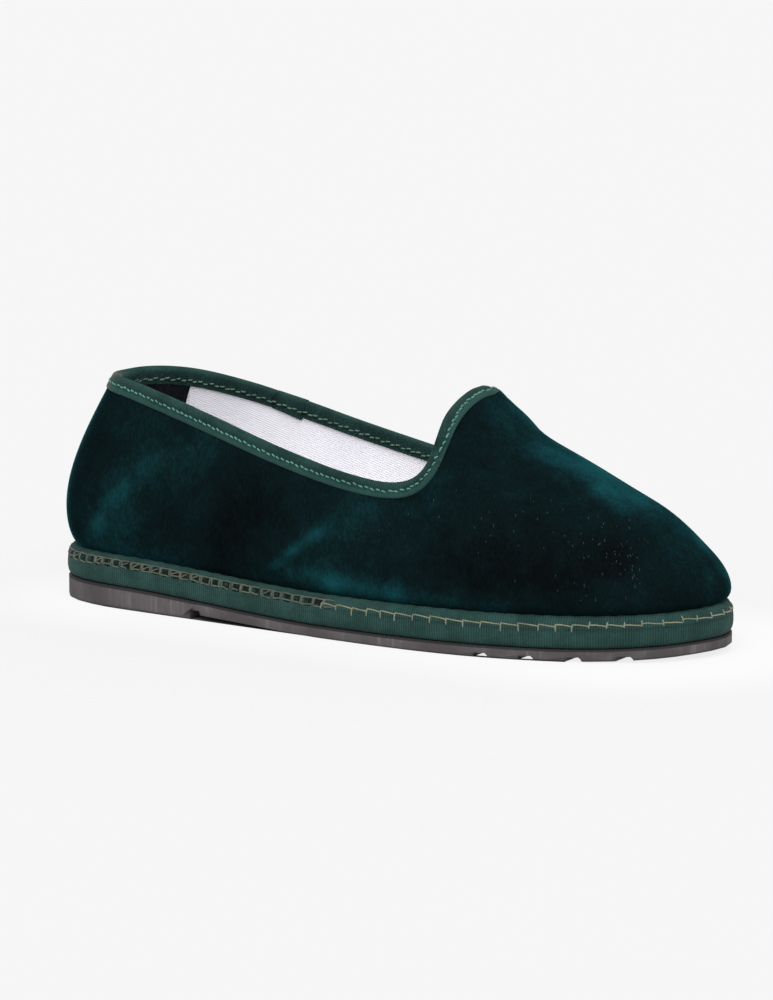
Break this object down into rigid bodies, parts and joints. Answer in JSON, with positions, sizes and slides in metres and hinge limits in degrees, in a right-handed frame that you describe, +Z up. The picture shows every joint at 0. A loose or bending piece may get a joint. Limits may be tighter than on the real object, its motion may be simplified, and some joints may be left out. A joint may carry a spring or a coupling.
{
  "type": "friulane slipper",
  "caption": "Low velvet slip-on slipper with a scooped collar, peaked throat, taped edges and a flat stitched cloth and rubber sole.",
  "frame": {"origin": "on the floor under the middle of the heel seat", "axes": "+X from heel to toe, +Y towards the inner side of the foot, +Z up"},
  "size_m": [0.2715, 0.0921, 0.089],
  "materials": {
    "rubber": "matt dark grey rubber with scuffed sides",
    "cloth_stack": "raw quilted cotton layers",
    "sole_tape": "dark green ribbed grosgrain tape",
    "velvet": "dark green-blue crushed velvet with a teal sheen",
    "collar_tape": "dark green woven tape",
    "lining": "white cotton twill"
  },
  "bodies": {
    "root": {"outsole": "rubber", "midsole": "cloth_stack", "sole_band": "sole_tape", "upper": "velvet", "collar_binding": "collar_tape", "insole": "lining"}
  },
  "joints": []
}
